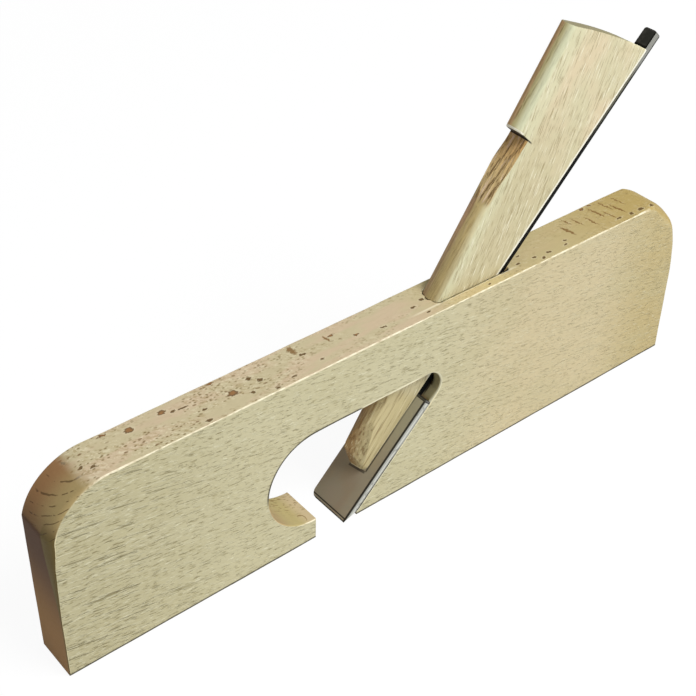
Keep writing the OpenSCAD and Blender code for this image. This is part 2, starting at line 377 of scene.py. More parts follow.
def make_wedge():
    """Sections across the wedge, carried up the bed. Each has a flat back, flat sides and a crowned front. The front of
    the tongue is pared to a plane that falls to the near side, h = a + b s + c y, then bevelled at the tip, and higher
    up it is cut down to the notch's floor. At the notch's wall the section steps out to the head, whose end is cut on
    a slope and crowned."""
    pared_end, floor_start = 50.0, 105.0
    pared_h, pared_rise, pared_lean, tip_t = -4.75, 0.511, 0.54, 0.05
    skew_end, far_ease, edge_ease, near_share = 32.0, 0.5, 0.3, 0.3
    s = np.concatenate(
        [
            np.linspace(TONGUE_AT, TONGUE_AT + 6.5, 30),
            np.linspace(24.6, 36, 24),
            np.linspace(37, 108, 50),
            np.linspace(109, NOTCH_AT, 110),
        ]
    )
    head = np.concatenate(
        [[NOTCH_AT, NOTCH_AT + 0.12, NOTCH_AT + 0.35, NOTCH_AT + 0.7], np.linspace(143, 172, 20)]
    )
    half_w = WEDGE_W / 2
    slope = (WEDGE_TOP_W - WEDGE_W) / 2 / (WEDGE_TOP - TOP_S)
    narrowed = slope * np.maximum(s - TOP_S, 0)
    near = np.interp(s, [TONGUE_AT, ROOF_S], [TONGUE_NEAR, half_w]) + narrowed
    far = np.interp(s, [TONGUE_AT, ROOF_S], [TONGUE_FAR, half_w]) + narrowed
    from_tip = np.clip(TONGUE_AT + TIP_R - s, 0, TIP_R)
    near -= TIP_R - np.sqrt(TIP_R**2 - from_tip**2)
    far -= far_ease * (from_tip / TIP_R) ** 3
    places = across(45)
    y = np.where(places < 0, near[:, None] * places, far[:, None] * places)
    front = front_h(s)[:, None] - front_drop(y, WEDGE_W)
    pared = pared_h + pared_rise * s[:, None] + pared_lean * y
    front = np.where(s[:, None] < pared_end, np.minimum(front, pared), front)
    floor = notch_floor(s[:, None], y)
    front = np.where(s[:, None] > floor_start, np.minimum(front, floor), front)
    bevel = (s - TONGUE_AT) * math.tan(TIP_BEVEL)
    front = np.minimum(front, bevel[:, None] + tip_t)

    half_head = half_w + slope * (head - TOP_S)
    y_head = half_head[:, None] * places
    lift = front_h(head) + HEAD_LIFT
    lift[:2] -= [0.3, 0.1]
    front_head = lift[:, None] - np.stack([front_drop(row, 2 * w) for row, w in zip(y_head, half_head)])

    s = np.concatenate([s, head])
    near = np.concatenate([near, half_head])
    far = np.concatenate([far, half_head])
    y = np.vstack([y, y_head])
    front = np.vstack([front, front_head])
    rungs = np.concatenate([[0, 0.006, 0.02], np.linspace(0.12, 1, 9)[:-1]])
    inset = np.concatenate([[edge_ease, 0.08], np.zeros(len(rungs) - 2)])
    near_y = near_share * inset - near[:, None]
    far_y = far[:, None] - inset[::-1]
    ring_y = np.hstack([near_y, y, far_y])
    ring_h = np.hstack([front[:, :1] * rungs, front, front[:, -1:] * rungs[::-1]])
    ring_s = np.repeat(s[:, None], ring_y.shape[1], 1)
    # The tip's contact with the iron runs back towards the near side
    near_tip = np.clip((skew_end - ring_s) / (skew_end - TONGUE_AT), 0, 1)
    ring_s = ring_s + TIP_SKEW * (TONGUE_FAR - ring_y) * near_tip

    # The top end, from the last section up to the crowned cut
    tall = (front_h(WEDGE_TOP) + HEAD_LIFT) / (1 + TOP_RUN * WEDGE_RISE)
    chord = math.hypot(tall, tall * TOP_RUN)
    sag = TOP_CROWN_R - math.sqrt(TOP_CROWN_R**2 - (chord / 2) ** 2)
    last_s, last_half = s[-1], near[-1]
    base_h = ring_h[-1]
    rows = []
    for t, end_ease in ((0.25, 0.0), (0.5, 0.0), (0.75, 0.0), (0.93, 0.0), (0.985, 0.05), (1.0, 0.3)):
        here = base_h
        for _ in range(4):
            share = here / tall
            end_s = WEDGE_TOP - here * TOP_RUN + 4 * sag * share * (1 - share)
            row_s = last_s + (end_s - last_s) * t
            here = base_h * (1 + (row_s - last_s) * WEDGE_RISE / base_h.max())
        row_half = half_w + slope * (row_s - TOP_S) - end_ease
        row_y = ring_y[-1] / last_half * row_half
        middle = here.max() / 2
        row_h = middle + (here - middle) * (1 - end_ease / middle)
        rows.append(np.stack([row_s, row_y, row_h], axis=-1))
    ring = np.concatenate([np.stack([ring_s, ring_y, ring_h], axis=-1), np.stack(rows)])
    rows_count, count = ring.shape[:2]
    faces = quads(rows_count, count, closed_columns=True)[:, ::-1].tolist()
    faces += closing(count) + closing(count, (rows_count - 1) * count, turned=True)
    return piece("beech_wedge", from_bed(ring), faces, sharp=40.0)


# Finishes


class Value:
    """A socket that does arithmetic: an expression on values adds the Math nodes that it stands for."""

    def __init__(self, finish, socket):
        self.finish = finish
        self.socket = socket

    def __add__(self, other):
        return self.finish.math("ADD", self, other)

    def __radd__(self, other):
        return self.finish.math("ADD", other, self)

    def __sub__(self, other):
        return self.finish.math("SUBTRACT", self, other)

    def __rsub__(self, other):
        return self.finish.math("SUBTRACT", other, self)

    def __mul__(self, other):
        return self.finish.math("MULTIPLY", self, other)

    def __rmul__(self, other):
        return self.finish.math("MULTIPLY", other, self)


class Finish:
    """A material of nodes. Its calls add the nodes that they need and return what comes out as a Value."""

    def __init__(self, name):
        self.material = bpy.data.materials.new(name)
        self.material.use_nodes = True
        self.tree = self.material.node_tree
        self.tree.nodes.clear()

    def add(self, kind, settings=None, inputs=None, output=0):
        """Adds a node of a type, with its settings first and then the values or links of its sockets."""
        node = self.tree.nodes.new("ShaderNode" + kind)
        for key, value in (settings or {}).items():
            setattr(node, key, value)
        for key, value in (inputs or {}).items():
            socket = node.inputs[key]
            if isinstance(value, Value):
                self.tree.links.new(value.socket, socket)
            elif isinstance(value, tuple) and socket.type == "RGBA":
                socket.default_value = (*value, 1.0)
            else:
                socket.default_value = value
        return None if output is None else Value(self, node.outputs[output])

    def math(self, operation, a, b=0.0):
        return self.add("Math", {"operation": operation}, {0: a, 1: b})

    def scaled(self, value, factor, offset):
        """A value times a factor, plus an offset."""
        return self.add("Math", {"operation": "MULTIPLY_ADD"}, {0: value, 1: factor, 2: offset})

    def size(self, value):
        return self.math("ABSOLUTE", value)

    def reach(self, a, b):
        """The distance from where both values are zero."""
        return self.math("SQRT", a * a + b * b)

    def most(self, *values):
        """The largest of some values."""
        result = values[0]
        for value in values[1:]:
            result = self.math("MAXIMUM", result, value)
        return result

    def smooth(self, value, low, high, to_low=0.0, to_high=1.0):
        """Goes smoothly from to_low at low to to_high at high."""
        return self.add(
            "MapRange",
            {"interpolation_type": "SMOOTHSTEP"},
            {"Value": value, "From Min": low, "From Max": high, "To Min": to_low, "To Max": to_high},
        )

    def band(self, value, low, high, soft):
        """One between two values and zero beyond them, over a soft distance."""
        risen = self.smooth(value, low - soft, low + soft)
        return risen * self.smooth(value, high - soft, high + soft, 1.0, 0.0)

    def mix(self, factor, a, b, blend="MIX"):
        """A mix of two colours."""
        settings = {"data_type": "RGBA", "blend_type": blend}
        return self.add("Mix", settings, {0: factor, 6: a, 7: b}, output=2)

    def layers(self, colour, *coats):
        """A colour with others laid over it in turn, each given as how much of it shows, and the colour."""
        for share, coat in coats:
            colour = self.mix(share, colour, coat)
        return colour

    def fibred(self, colour, fibre):
        """A colour made a little darker and lighter along the fibres."""
        shade = self.mix(fibre, (0.9, 0.89, 0.87), (1.06, 1.06, 1.06))
        return self.mix(1.0, colour, shade, "MULTIPLY")

    def parts(self, vector):
        return [self.add("SeparateXYZ", {}, {0: vector}, output=k) for k in range(3)]

    def facing(self):
        """How far the surface faces along x, y and z, each from -1 to 1."""
        return self.parts(self.add("Attribute", {"attribute_name": "facing"}, output="Vector"))

    def axes(self, turn=0.0, shift=(0.0, 0.0, 0.0)):
        """Object coordinates in millimetres along x, y and z, turned about y."""
        return self.parts(self.place((1, 1, 1), (0, turn, 0), shift))

    def place(self, scale=(1.0, 1.0, 1.0), turn=(0.0, 0.0, 0.0), shift=(0.0, 0.0, 0.0)):
        """Object coordinates in millimetres, turned, then scaled along each axis."""
        here = self.add("TexCoord", output="Object")
        turned = self.add("Mapping", {}, {"Vector": here, "Rotation": turn, "Scale": (1 / MM,) * 3})
        return self.add("Mapping", {}, {"Vector": turned, "Location": shift, "Scale": scale})

    def noise(self, vector, detail=2.0, roughness=0.5):
        inputs = {"Vector": vector, "Scale": 1.0, "Detail": detail, "Roughness": roughness}
        return self.add("TexNoise", {}, inputs)

    def specks(self, vector, radius, share, soft):
        """Round spots in cells of size one, as a mask: a cell holds one where its own number is under the share."""
        cell = {"Vector": vector, "Scale": 1.0}
        distance = self.add("TexVoronoi", {}, cell, output="Distance")
        colour = self.add("TexVoronoi", {}, cell, output="Color")
        number = self.add("SeparateColor", {}, {0: colour})
        spot = self.smooth(distance, radius * (1 - soft), radius, 1.0, 0.0)
        return spot * self.math("LESS_THAN", number, share)

    def nearest(self, x, y, marks, lean=0.0):
        """The square of the distance from the nearest of some oval marks on x and y, with one on their outlines.
        Each mark has a place, half a length and half a width, and all lean by one angle."""
        cos, sin = math.cos(lean), math.sin(lean)
        if lean:
            x, y = x * cos + y * sin, y * cos - x * sin
        result = None
        for at_x, at_y, long, wide in marks:
            at_x, at_y = at_x * cos + at_y * sin, at_y * cos - at_x * sin
            u = self.scaled(x, 1 / long, -at_x / long)
            v = self.scaled(y, 1 / wide, -at_y / wide)
            far = self.scaled(u, u, v * v)
            result = far if result is None else self.math("MINIMUM", result, far)
        return result

    def surface(self, colour, roughness, height, metallic=0.0, gloss=0.25):
        """The shader, with the height in millimetres as bumps."""
        inputs = {"Base Color": colour, "Roughness": roughness, "Metallic": metallic}
        inputs["Specular IOR Level"] = gloss
        inputs["Normal"] = self.add("Bump", {}, {"Height": height, "Distance": MM})
        self.shown(self.add("BsdfPrincipled", {}, inputs))
        return self.material

    def shown(self, shader):
        self.add("OutputMaterial", {}, {"Surface": shader}, output=None)


# Marks on the top of the stock: x, y, half a length and half a width
DARK_MARKS = (
    (-119.0, -0.7, 0.8, 0.5),
    (-116.0, -3.0, 0.9, 0.5),
    (-85.0, 3.4, 1.0, 0.5),
    (-81.5, 2.8, 2.0, 0.35),
    (-79.0, -6.7, 1.1, 0.55),
    (-77.0, -1.6, 0.8, 0.5),
    (-61.0, -4.0, 0.7, 0.5),
    (-58.5, 2.2, 1.1, 0.8),
    (-56.0, -0.5, 1.0, 0.7),
    (-53.7, -7.0, 1.1, 0.4),
    (-46.6, -5.5, 0.9, 0.4),
    (-37.8, 1.5, 1.2, 0.55),
    (-34.3, -4.1, 0.9, 0.5),
    (-8.5, -3.0, 1.3, 0.5),
    (6.4, -0.9, 1.2, 0.5),
    (11.3, 0.7, 1.1, 0.6),
    (8.6, -5.8, 0.9, 0.4),
    (35.4, -6.8, 0.7, 0.35),
    (51.9, -3.9, 0.9, 0.4),
    (54.7, -0.6, 0.9, 0.4),
    (58.8, -4.4, 0.9, 0.4),
    (61.5, -6.6, 0.8, 0.55),
    (65.5, -5.4, 0.9, 0.55),
    (73.5, -5.6, 1.1, 0.5),
    (75.0, -3.6, 0.9, 0.45),
    (101.5, -5.4, 1.4, 0.45),
    (107.5, -5.9, 1.0, 0.6),
    (112.5, -6.0, 1.3, 0.7),
    (118.0, -6.4, 0.9, 0.7),
)
RED_MARKS = (
    (-107.5, 6.9, 1.2, 0.5),
    (-100.0, 4.1, 1.5, 1.0),
    (-88.0, 4.9, 1.3, 0.8),
    (-69.0, 7.3, 1.4, 0.5),
    (-66.3, -0.7, 1.6, 1.1),
    (-25.0, 3.6, 0.9, 0.5),
    (-18.0, -1.0, 1.0, 0.5),
    (95.0, 7.0, 1.0, 0.6),
    (99.0, 7.2, 0.9, 0.5),
)
LINES = (
    (-39.6, 5.2, 1.9, 0.8),
    (-27.0, 3.2, 1.5, 0.45),
    (84.0, 4.5, 2.0, 0.3),
    (100.5, -1.5, 2.4, 0.3),
    (110.0, 3.0, 2.6, 0.25),
    (80.5, 0.0, 2.9, 0.55),
    (87.5, 2.0, 2.6, 0.3),
    (92.0, -0.6, 2.8, 0.3),
    (97.5, 2.2, 3.2, 0.4),
    (103.5, 3.4, 2.8, 0.3),
    (106.0, -0.5, 3.2, 0.4),
)
LINES_LEAN = -1.42


def stock_cheek(f, x):
    """A cheek's colour, and its relief in millimetres: short dashes and ticks along the grain with pale streaks between
    them, calmer towards the heel, and longer torn lines that are strongest at the toe."""
    cloud = f.noise(f.place((0.035, 0.1, 0.07), (0, -0.1, 0), (4, 2, 9)), 3.0)
    streak = f.noise(f.place((0.3, 0.4, 2.1), (0, GRAIN, 0), (3, 5, 2)), 2.0, 0.6)
    dash, light = f.smooth(streak, 0.6, 0.68), f.smooth(streak, 0.4, 0.32)
    tick = f.specks(f.place((1 / 3.2, 1 / 5, 1 / 0.75), (0, GRAIN - 0.03, 0)), 0.46, 0.5, 0.6)
    tears = f.noise(f.place((0.07, 0.2, 1.25), (0, GRAIN - 0.07, 0), (6, 2, 8)), 3.0, 0.55)
    torn = f.smooth(tears, 0.6, 0.66)
    torn_light = f.smooth(tears, 0.55, 0.6) * (1 - torn)
    rough_end = f.smooth(x, -60.0, -125.0)
    calm = f.smooth(x, 10.0, 75.0, 1.0, 0.48)
    colour = f.layers(
        # The bare wood, from the toe to the heel
        (0.535, 0.49, 0.305),
        (f.smooth(x, -128.0, -50.0), (0.62, 0.575, 0.375)),
        (f.smooth(x, 0.0, 60.0), (0.655, 0.56, 0.35)),
        (f.smooth(x, 88.0, 128.0), (0.565, 0.46, 0.232)),
        (f.smooth(cloud, 0.4, 0.7) * 0.3, (0.55, 0.5, 0.3)),
        # Its marks
        (dash * (0.5 + rough_end * 0.25) * calm, (0.25, 0.205, 0.095)),
        (tick * calm * 0.5, (0.33, 0.28, 0.14)),
        (light * calm * 0.6, (0.8, 0.77, 0.56)),
        (torn_light * (0.15 + rough_end * 0.35), (0.78, 0.75, 0.54)),
        (torn * (0.15 + rough_end * 0.5), (0.2, 0.165, 0.07)),
    )
    return colour, light * 0.06 - dash * 0.11 - tick * 0.03 - torn * rough_end * 0.16


def stock_top(f, x, y, z, ragged):
    """The top's colour, and how deep its marks and pores are, from 0 to 1: rosy in front of the wedge, olive behind it
    and browner at the heel, with a speckled figure that fades that way, and the larger marks at their own places."""
    tint = f.noise(f.place((0.05, 0.2, 0.1), (0, 0, 0), (3, 8, 1)))
    rows = f.smooth(f.noise(f.place((0.06, 0.16, 0.1), (0, 0, 0), (1, 4, 2))), 0.36, 0.56)
    rows = rows * f.smooth(x, 10.0, -90.0, 0.35, 1.0)
    figure = f.noise(f.place((0.45, 1.0, 0.3), (0, 0, 0.6), (5, 9, 0)), 3.0, 0.6)
    pore = f.specks(f.place((1 / 1.5, 1 / 0.85, 1 / 3)), 0.5, 0.55, 0.75)
    pore_pale = f.specks(f.place((1 / 1.1, 1 / 0.8, 1 / 3), (0, 0, 0), (2.6, 7.1, 0.0)), 0.42, 0.4, 0.7)
    fleck = f.specks(f.place((1 / 2.9, 1 / 1.5, 1 / 6), (0, 0, 0.08), (2.2, 0.4, 0.0)), 0.3, 0.2, 0.4)

    near_x = x + (ragged - 0.5) * 2.4
    near_y = y + (f.noise(f.place((0.7, 0.9, 0.2), (0, 0, 0), (4, 8, 0)), 3.0) - 0.5) * 1.8
    below = f.smooth(z, 66.0, 64.0) * 9.0
    dark = f.nearest(near_x, near_y, DARK_MARKS) + below
    lined = f.nearest(near_x, near_y, LINES, LINES_LEAN) + below
    red = f.nearest(near_x, near_y, RED_MARKS) + below
    nearer = f.math("MINIMUM", dark, red)
    beside_wedge = f.smooth(x, 0.0, 8.0) * f.smooth(x, 52.0, 46.0) * f.smooth(z, 70.0, 71.0)
    colour = f.layers(
        # The bare wood, from the toe to the heel
        (0.6, 0.52, 0.325),
        (f.smooth(tint, 0.4, 0.6), (0.64, 0.51, 0.34)),
        (f.smooth(x, -2.0, 30.0) * 0.75, (0.565, 0.465, 0.225)),
        (f.smooth(x, 60.0, 118.0) * 0.92, (0.5, 0.37, 0.13)),
        # The speckled figure
        (f.smooth(figure, 0.54, 0.63) * rows * 0.45, (0.36, 0.26, 0.11)),
        (f.smooth(figure, 0.45, 0.36) * rows * 0.45, (0.84, 0.77, 0.55)),
        (pore * rows * 0.85, (0.2, 0.135, 0.045)),
        (pore_pale * rows * 0.6, (0.82, 0.74, 0.52)),
        (fleck * rows * 0.7, (0.2, 0.11, 0.04)),
        # The larger marks, each in a paler surround, and the pale line beside the wedge
        (f.smooth(nearer, 3.2, 1.6) * 0.22, (0.84, 0.76, 0.54)),
        (f.smooth(lined, 2.3, 0.6) * 0.85, (0.23, 0.12, 0.035)),
        (f.smooth(dark, 1.5, 0.55) * 0.9, (0.125, 0.067, 0.018)),
        (f.smooth(red, 1.6, 0.8) * 0.9, (0.16, 0.085, 0.03)),
        (f.smooth(red, 0.6, 0.25) * 0.8, (0.36, 0.18, 0.07)),
        (f.band(y, -5.1, -4.3, 0.12) * beside_wedge * 0.6, (0.92, 0.85, 0.62)),
    )
    return colour, f.smooth(nearer, 1.3, 0.5) + pore * rows * 0.4


def stock_lip(f, x, y, ragged):
    """The cut face of the lip: redder at the foot of the round, olive in the middle and pale at its end, with the arcs
    of a knot on the near side and torn fibres on the far one."""
    knot = f.reach((x + 43.5) * math.sqrt(1.6), y + 5.5) + ragged * 1.2
    arcs = f.smooth(f.math("SINE", knot * 3.4), 0.5, 0.95) * f.smooth(knot, 4.0, 3.2)
    arcs = arcs * f.smooth(x + y * 0.5, -47.0, -45.6)
    tears = f.smooth(f.noise(f.place((0.5, 1.4, 0.3), (0, 0, 0.3), (2, 2, 2)), 3.0), 0.55, 0.62)
    return f.layers(
        (0.56, 0.355, 0.17),
        (f.smooth(x, -57.0, -49.0), (0.52, 0.435, 0.2)),
        (f.smooth(x, -46.0, -41.0), (0.62, 0.5, 0.3)),
        (f.most(arcs, tears * f.smooth(y, -4.0, 0.0)) * 0.75, (0.27, 0.17, 0.06)),
    )


def stock_toe(f, nx, y, z):
    """The toe's colour, and how deep its growth lines are, from 0 to 1: broken lines that sag towards the far side,
    redder wood on that side, a dark upright end that is lighter at its foot, and a near side pared olive."""
    wobble = f.noise(f.place((0.12, 0.12, 0.12)), 3.0)
    aside = 6.45 - y
    lines = f.smooth(f.math("SINE", (z - aside * aside * 0.034 + wobble * 2.5) * 2.2), 0.88, 0.995)
    broken = f.smooth(f.noise(f.place((0.3, 0.3, 0.5), (0, 0, 0), (7, 1, 3))), 0.47, 0.56)
    lines = lines * broken * f.smooth(z, 52.5, 59.0) * f.smooth(y, 7.0, 5.0)
    end = f.mix(f.smooth(z, 50.0, 12.0), (0.088, 0.038, 0.013), (0.285, 0.148, 0.044))
    pared = f.smooth(y - f.smooth(z, 20.0, 58.0) * 5.0, -7.2, -8.2) * f.smooth(z, 62.0, 56.0)
    colour = f.layers(
        (0.4, 0.3, 0.135),
        (f.smooth(y, -6.0, 5.5), (0.31, 0.17, 0.075)),
        (f.smooth(z, 65.0, 55.0) * 0.75, (0.15, 0.085, 0.035)),
        (f.smooth(nx, -0.93, -0.985), end),
        (pared * 0.9, (0.15, 0.11, 0.035)),
        (lines * 0.7, (0.075, 0.042, 0.016)),
    )
    return colour, lines


def stock_arrises(f, x, z, nx, nz, side_on):
    """Coats for the arrises beside the cheeks: worn pale, with a painted highlight, along the top and under the
    throat's roof, and a thin painted highlight up the toe's end."""
    worn = f.smooth(f.noise(f.place((0.25, 0.25, 0.25), (0, 0, 0), (6, 1, 2)), 3.0), 0.32, 0.6)
    top = f.smooth(nz, 0.1, 0.3) * f.smooth(f.size(nx), 0.26, 0.12)
    roof = f.smooth(nz, -0.1, -0.3) * f.smooth(z, 38.0, 42.0) * f.smooth(x, -48.0, -42.0)
    lit = f.most(top, roof) * f.smooth(x, -121.0, -114.0) * f.smooth(x, 116.5, 113.5)
    end = f.smooth(nx, -0.1, -0.2) * f.smooth(z, 62.0, 58.0)
    # Wear and painted highlight on the top and roof arrises, and painted highlight up the toe's end
    return (
        (f.band(side_on, 0.3, 0.96, 0.12) * lit * (0.15 + worn * 0.85), (0.95, 0.88, 0.66)),
        (f.band(side_on, 0.8, 0.985, 0.03) * end * 0.8, (0.86, 0.76, 0.48)),
    )


def stock_rims(f, x, z, ny, side_on):
    """Coats for the outline of the cheeks: a dark line of painted shade along the sole, the throat's round and the
    front of its roof, and a pale line of painted highlight along the rest of the roof."""
    from_round = f.reach(x - LIP_X, z - (LIP_H + ROOF_H) / 2) - (ROOF_H - LIP_H) / 2
    rounded = f.smooth(from_round, 1.2, 0.75) * f.smooth(x, LIP_X + 0.5, LIP_X) * f.smooth(z, 25.0, 30.0)
    straight = f.smooth(z, ROOF_H + 1.2, ROOF_H + 0.75) * f.smooth(z, 30.0, 40.0)
    straight = straight * f.smooth(x, LIP_X - 0.5, LIP_X)
    dark = f.most(f.smooth(z, 1.1, 0.65), rounded, straight * f.smooth(x, -20.0, -22.0))
    pale = straight * f.smooth(x, -22.0, -18.0) * f.smooth(x, 6.0, 3.0) * f.smooth(ny, -0.2, -0.4)
    # Painted shade where the arrises turn away from the light, and a painted highlight along the roof's arris
    return (
        (dark * f.smooth(side_on, 0.3, 0.6) * 0.9, (0.05, 0.045, 0.03)),
        (pale * 0.75, (0.95, 0.9, 0.66)),
    )


def stock_hollows(f, y, z, ny, side_on):
    """Coats for the painted highlight on the arris along the bed and round the eye, and for painted shade in the eye
    and in the mortise.
    """
    s, _, h = f.axes(BED_ANGLE, BED_SHIFT)
    from_eye = f.reach(s - EYE_S, h - EYE_H)
    bed = f.band(h, -IRON_T - 0.75, -IRON_T + 0.4, 0.1) * f.smooth(s, EYE_S + 0.6, EYE_S) * f.smooth(s, 2.0, 3.0)
    ring = f.band(from_eye, EYE_R - 0.1, EYE_R + 0.7, 0.1) * f.smooth(s, EYE_S - 0.3, EYE_S + 0.3)
    inside = f.smooth(side_on, 0.5, 0.8, 1.0, 0.0)
    eye = f.smooth(from_eye, 7.4, 6.4) * f.smooth(s, 49.0, 53.0) * f.smooth(y, -8.2, -7.6) * inside
    well = f.smooth(f.size(y), 4.3, 4.55, 1.0, 0.0) * f.smooth(s, 51.0, 54.0) * f.smooth(z, 71.3, 68.5)
    well = well * f.smooth(h, -IRON_T - 1.0, -IRON_T - 0.5)
    # Painted highlight on the bed's arris and the eye's rim, olive painted shade inside the eye, and near-black painted
    # shade down the mortise
    return (
        (f.most(bed, ring) * f.smooth(ny, -0.2, -0.4) * 0.6, (0.8, 0.78, 0.58)),
        (eye * 0.85, (0.26, 0.235, 0.13)),
        (well * 0.9, (0.03, 0.022, 0.014)),
    )


def beech_stock_finish():
    """Planed beech. The cheeks show short dashes along the grain, the top dark specks and brown flecks, and the ends
    darker wood with thin growth lines. Arrises are worn pale with painted highlights, the cheeks' outline carries lines
    of painted shade and highlight, and the eye and the mortise are darkened with painted shade."""
    f = Finish("planed_beech")
    nx, ny, nz = f.facing()
    x, y, z = f.axes()
    side_on = f.size(ny)
    cheek = f.smooth(side_on, 0.78, 0.97)
    toe = f.smooth(nx, -0.2, -0.42)
    heel = f.smooth(nx, 0.35, 0.95)
    fibre = f.noise(f.place((0.1, 0.8, 2.4), (0, GRAIN, 0)), 4.0, 0.65)
    ragged = f.noise(f.place((0.9, 1.3, 0.2)), 3.0)

    side, relief = stock_cheek(f, x)
    top, pits = stock_top(f, x, y, z, ragged)
    end, lines = stock_toe(f, nx, y, z)
    colour = f.layers(
        top,
        (f.smooth(z, 30.0, 26.0), stock_lip(f, x, y, ragged)),
        (toe, end),
        (heel, (0.44, 0.34, 0.18)),
        (cheek, side),
        *stock_arrises(f, x, z, nx, nz, side_on),
        *stock_rims(f, x, z, ny, side_on),
    )
    colour = f.layers(f.fibred(colour, fibre), *stock_hollows(f, y, z, ny, side_on))
    height = fibre * 0.02 + relief * cheek - pits * (1 - cheek) * (1 - toe) * 0.06 - lines * toe * 0.08
    return f.surface(colour, 0.64 - fibre * 0.1, height, gloss=0.1)


def wedge_side(f, s, from_front, lean):
    """A side's colour, and its relief in millimetres: browner below the head and at the tongue, paler beside the front
    with a painted highlight, and with dashes, ticks and pale streaks along the grain."""
    blotch = f.noise(f.place((0.05, 0.1, 0.05)), 3.0)
    grain = f.noise(f.place((0.15, 0.4, 2.2), (0, lean, 0), (3, 5, 2)), 2.0, 0.6)
    dash, light = f.smooth(grain, 0.59, 0.67), f.smooth(grain, 0.4, 0.32)
    tick = f.specks(f.place((1 / 4.2, 1 / 4, 1 / 0.6), (0, lean, 0)), 0.46, 0.5, 0.6)
    colour = f.layers(
        # The bare wood, from the tip to the head
        (0.69, 0.635, 0.41),
        (f.smooth(blotch, 0.35, 0.65), (0.75, 0.635, 0.42)),
        (f.smooth(s, 60.0, 10.0), (0.6, 0.54, 0.33)),
        (f.smooth(s, 165.0, 120.0) * 0.75, (0.61, 0.545, 0.33)),
        # Painted highlight on the side next to the front's rounded corner
        (f.smooth(from_front, 8.0, 2.5) * 0.65, (0.73, 0.72, 0.48)),
        # Its marks
        (dash * 0.75, (0.38, 0.3, 0.15)),
        (tick * 0.42, (0.4, 0.32, 0.16)),
        (light * 0.75, (0.94, 0.9, 0.7)),
    )
    return colour, light * 0.03 - dash * 0.05 - tick * 0.02


def wedge_front(f, s, y):
    """The front's colour, and its relief in millimetres: a pale strip of painted highlight on the near side, red brown
    painted shade on the far one, the head with a face of its own painted the same way, the tongue split along its
    fibres and darker on its far side with painted shade, and the notch's floor darker towards the wall with painted
    shade."""
    streak = f.noise(f.place((0.05, 1.3, 1.3), (0, BED_ANGLE + 0.12, 0), (2, 7, 4)), 4.0, 0.62)
    dark, pink = f.smooth(streak, 0.52, 0.64), f.smooth(streak, 0.44, 0.34)
    over = y + streak * 1.6
    torn = f.noise(f.place((0.05, 1.0, 1.0), (0, BED_ANGLE + 0.2, 0), (9, 3, 5)), 4.0, 0.6)
    cut = f.band(s, NOTCH_AT - NOTCH_L + 2.0, NOTCH_AT + 0.2, 1.2)
    # The head's face: pale on its near side as painted highlight, and olive to red brown on its far side as painted
    # shade
    face = f.layers(
        (0.82, 0.84, 0.58),
        (f.smooth(y, -2.2, 0.2), (0.6, 0.54, 0.27)),
        (f.smooth(over, 1.0, 2.4) * 0.85, (0.66, 0.39, 0.19)),
        (f.most(dark * f.smooth(y, -1.5, 0.5) * 0.7, f.band(y, 1.9, 2.5, 0.25) * 0.6), (0.3, 0.18, 0.05)),
    )
    # The tongue: brown on its far side as painted shade, with split fibres
    tongue = f.layers(
        (0.62, 0.53, 0.29),
        (f.smooth(over, -2.6, 2.6), (0.36, 0.225, 0.095)),
        (dark * 0.65, (0.23, 0.13, 0.045)),
        (pink * 0.6, (0.78, 0.68, 0.42)),
    )
    # The notch's floor: redder and darker towards the wall as painted shade, with torn fibres
    floor = f.layers(
        (0.64, 0.47, 0.22),
        (f.smooth(s, NOTCH_AT - 16.0, NOTCH_AT - 1.0), (0.6, 0.37, 0.14)),
        (f.smooth(torn, 0.53, 0.6) * 0.85, (0.22, 0.12, 0.04)),
        (f.smooth(torn, 0.46, 0.38) * 0.6, (0.82, 0.62, 0.46)),
    )
    # The front: pale on the near side as painted highlight, browner in the middle, and red brown on the far side as
    # painted shade
    colour = f.layers(
        (0.8, 0.74, 0.47),
        (f.smooth(over, -3.6, -0.4), (0.6, 0.46, 0.2)),
        (f.smooth(over, 1.0, 2.8), (0.62, 0.39, 0.21)),
        (dark * f.smooth(y, -3.5, 0.0) * 0.6, (0.34, 0.2, 0.085)),
        (pink * f.smooth(y, -3.0, 1.0) * 0.45, (0.74, 0.56, 0.38)),
        (f.smooth(s, 112.0, 92.0) * 0.45, (0.4, 0.31, 0.14)),
        (f.smooth(s, NOTCH_AT - 0.4, NOTCH_AT + 0.4) * 0.85, face),
        (f.smooth(s, 60.0, 50.0), tongue),
        (cut, floor),
    )
    return colour, pink * 0.06 - dark * 0.1 + torn * cut * 0.5


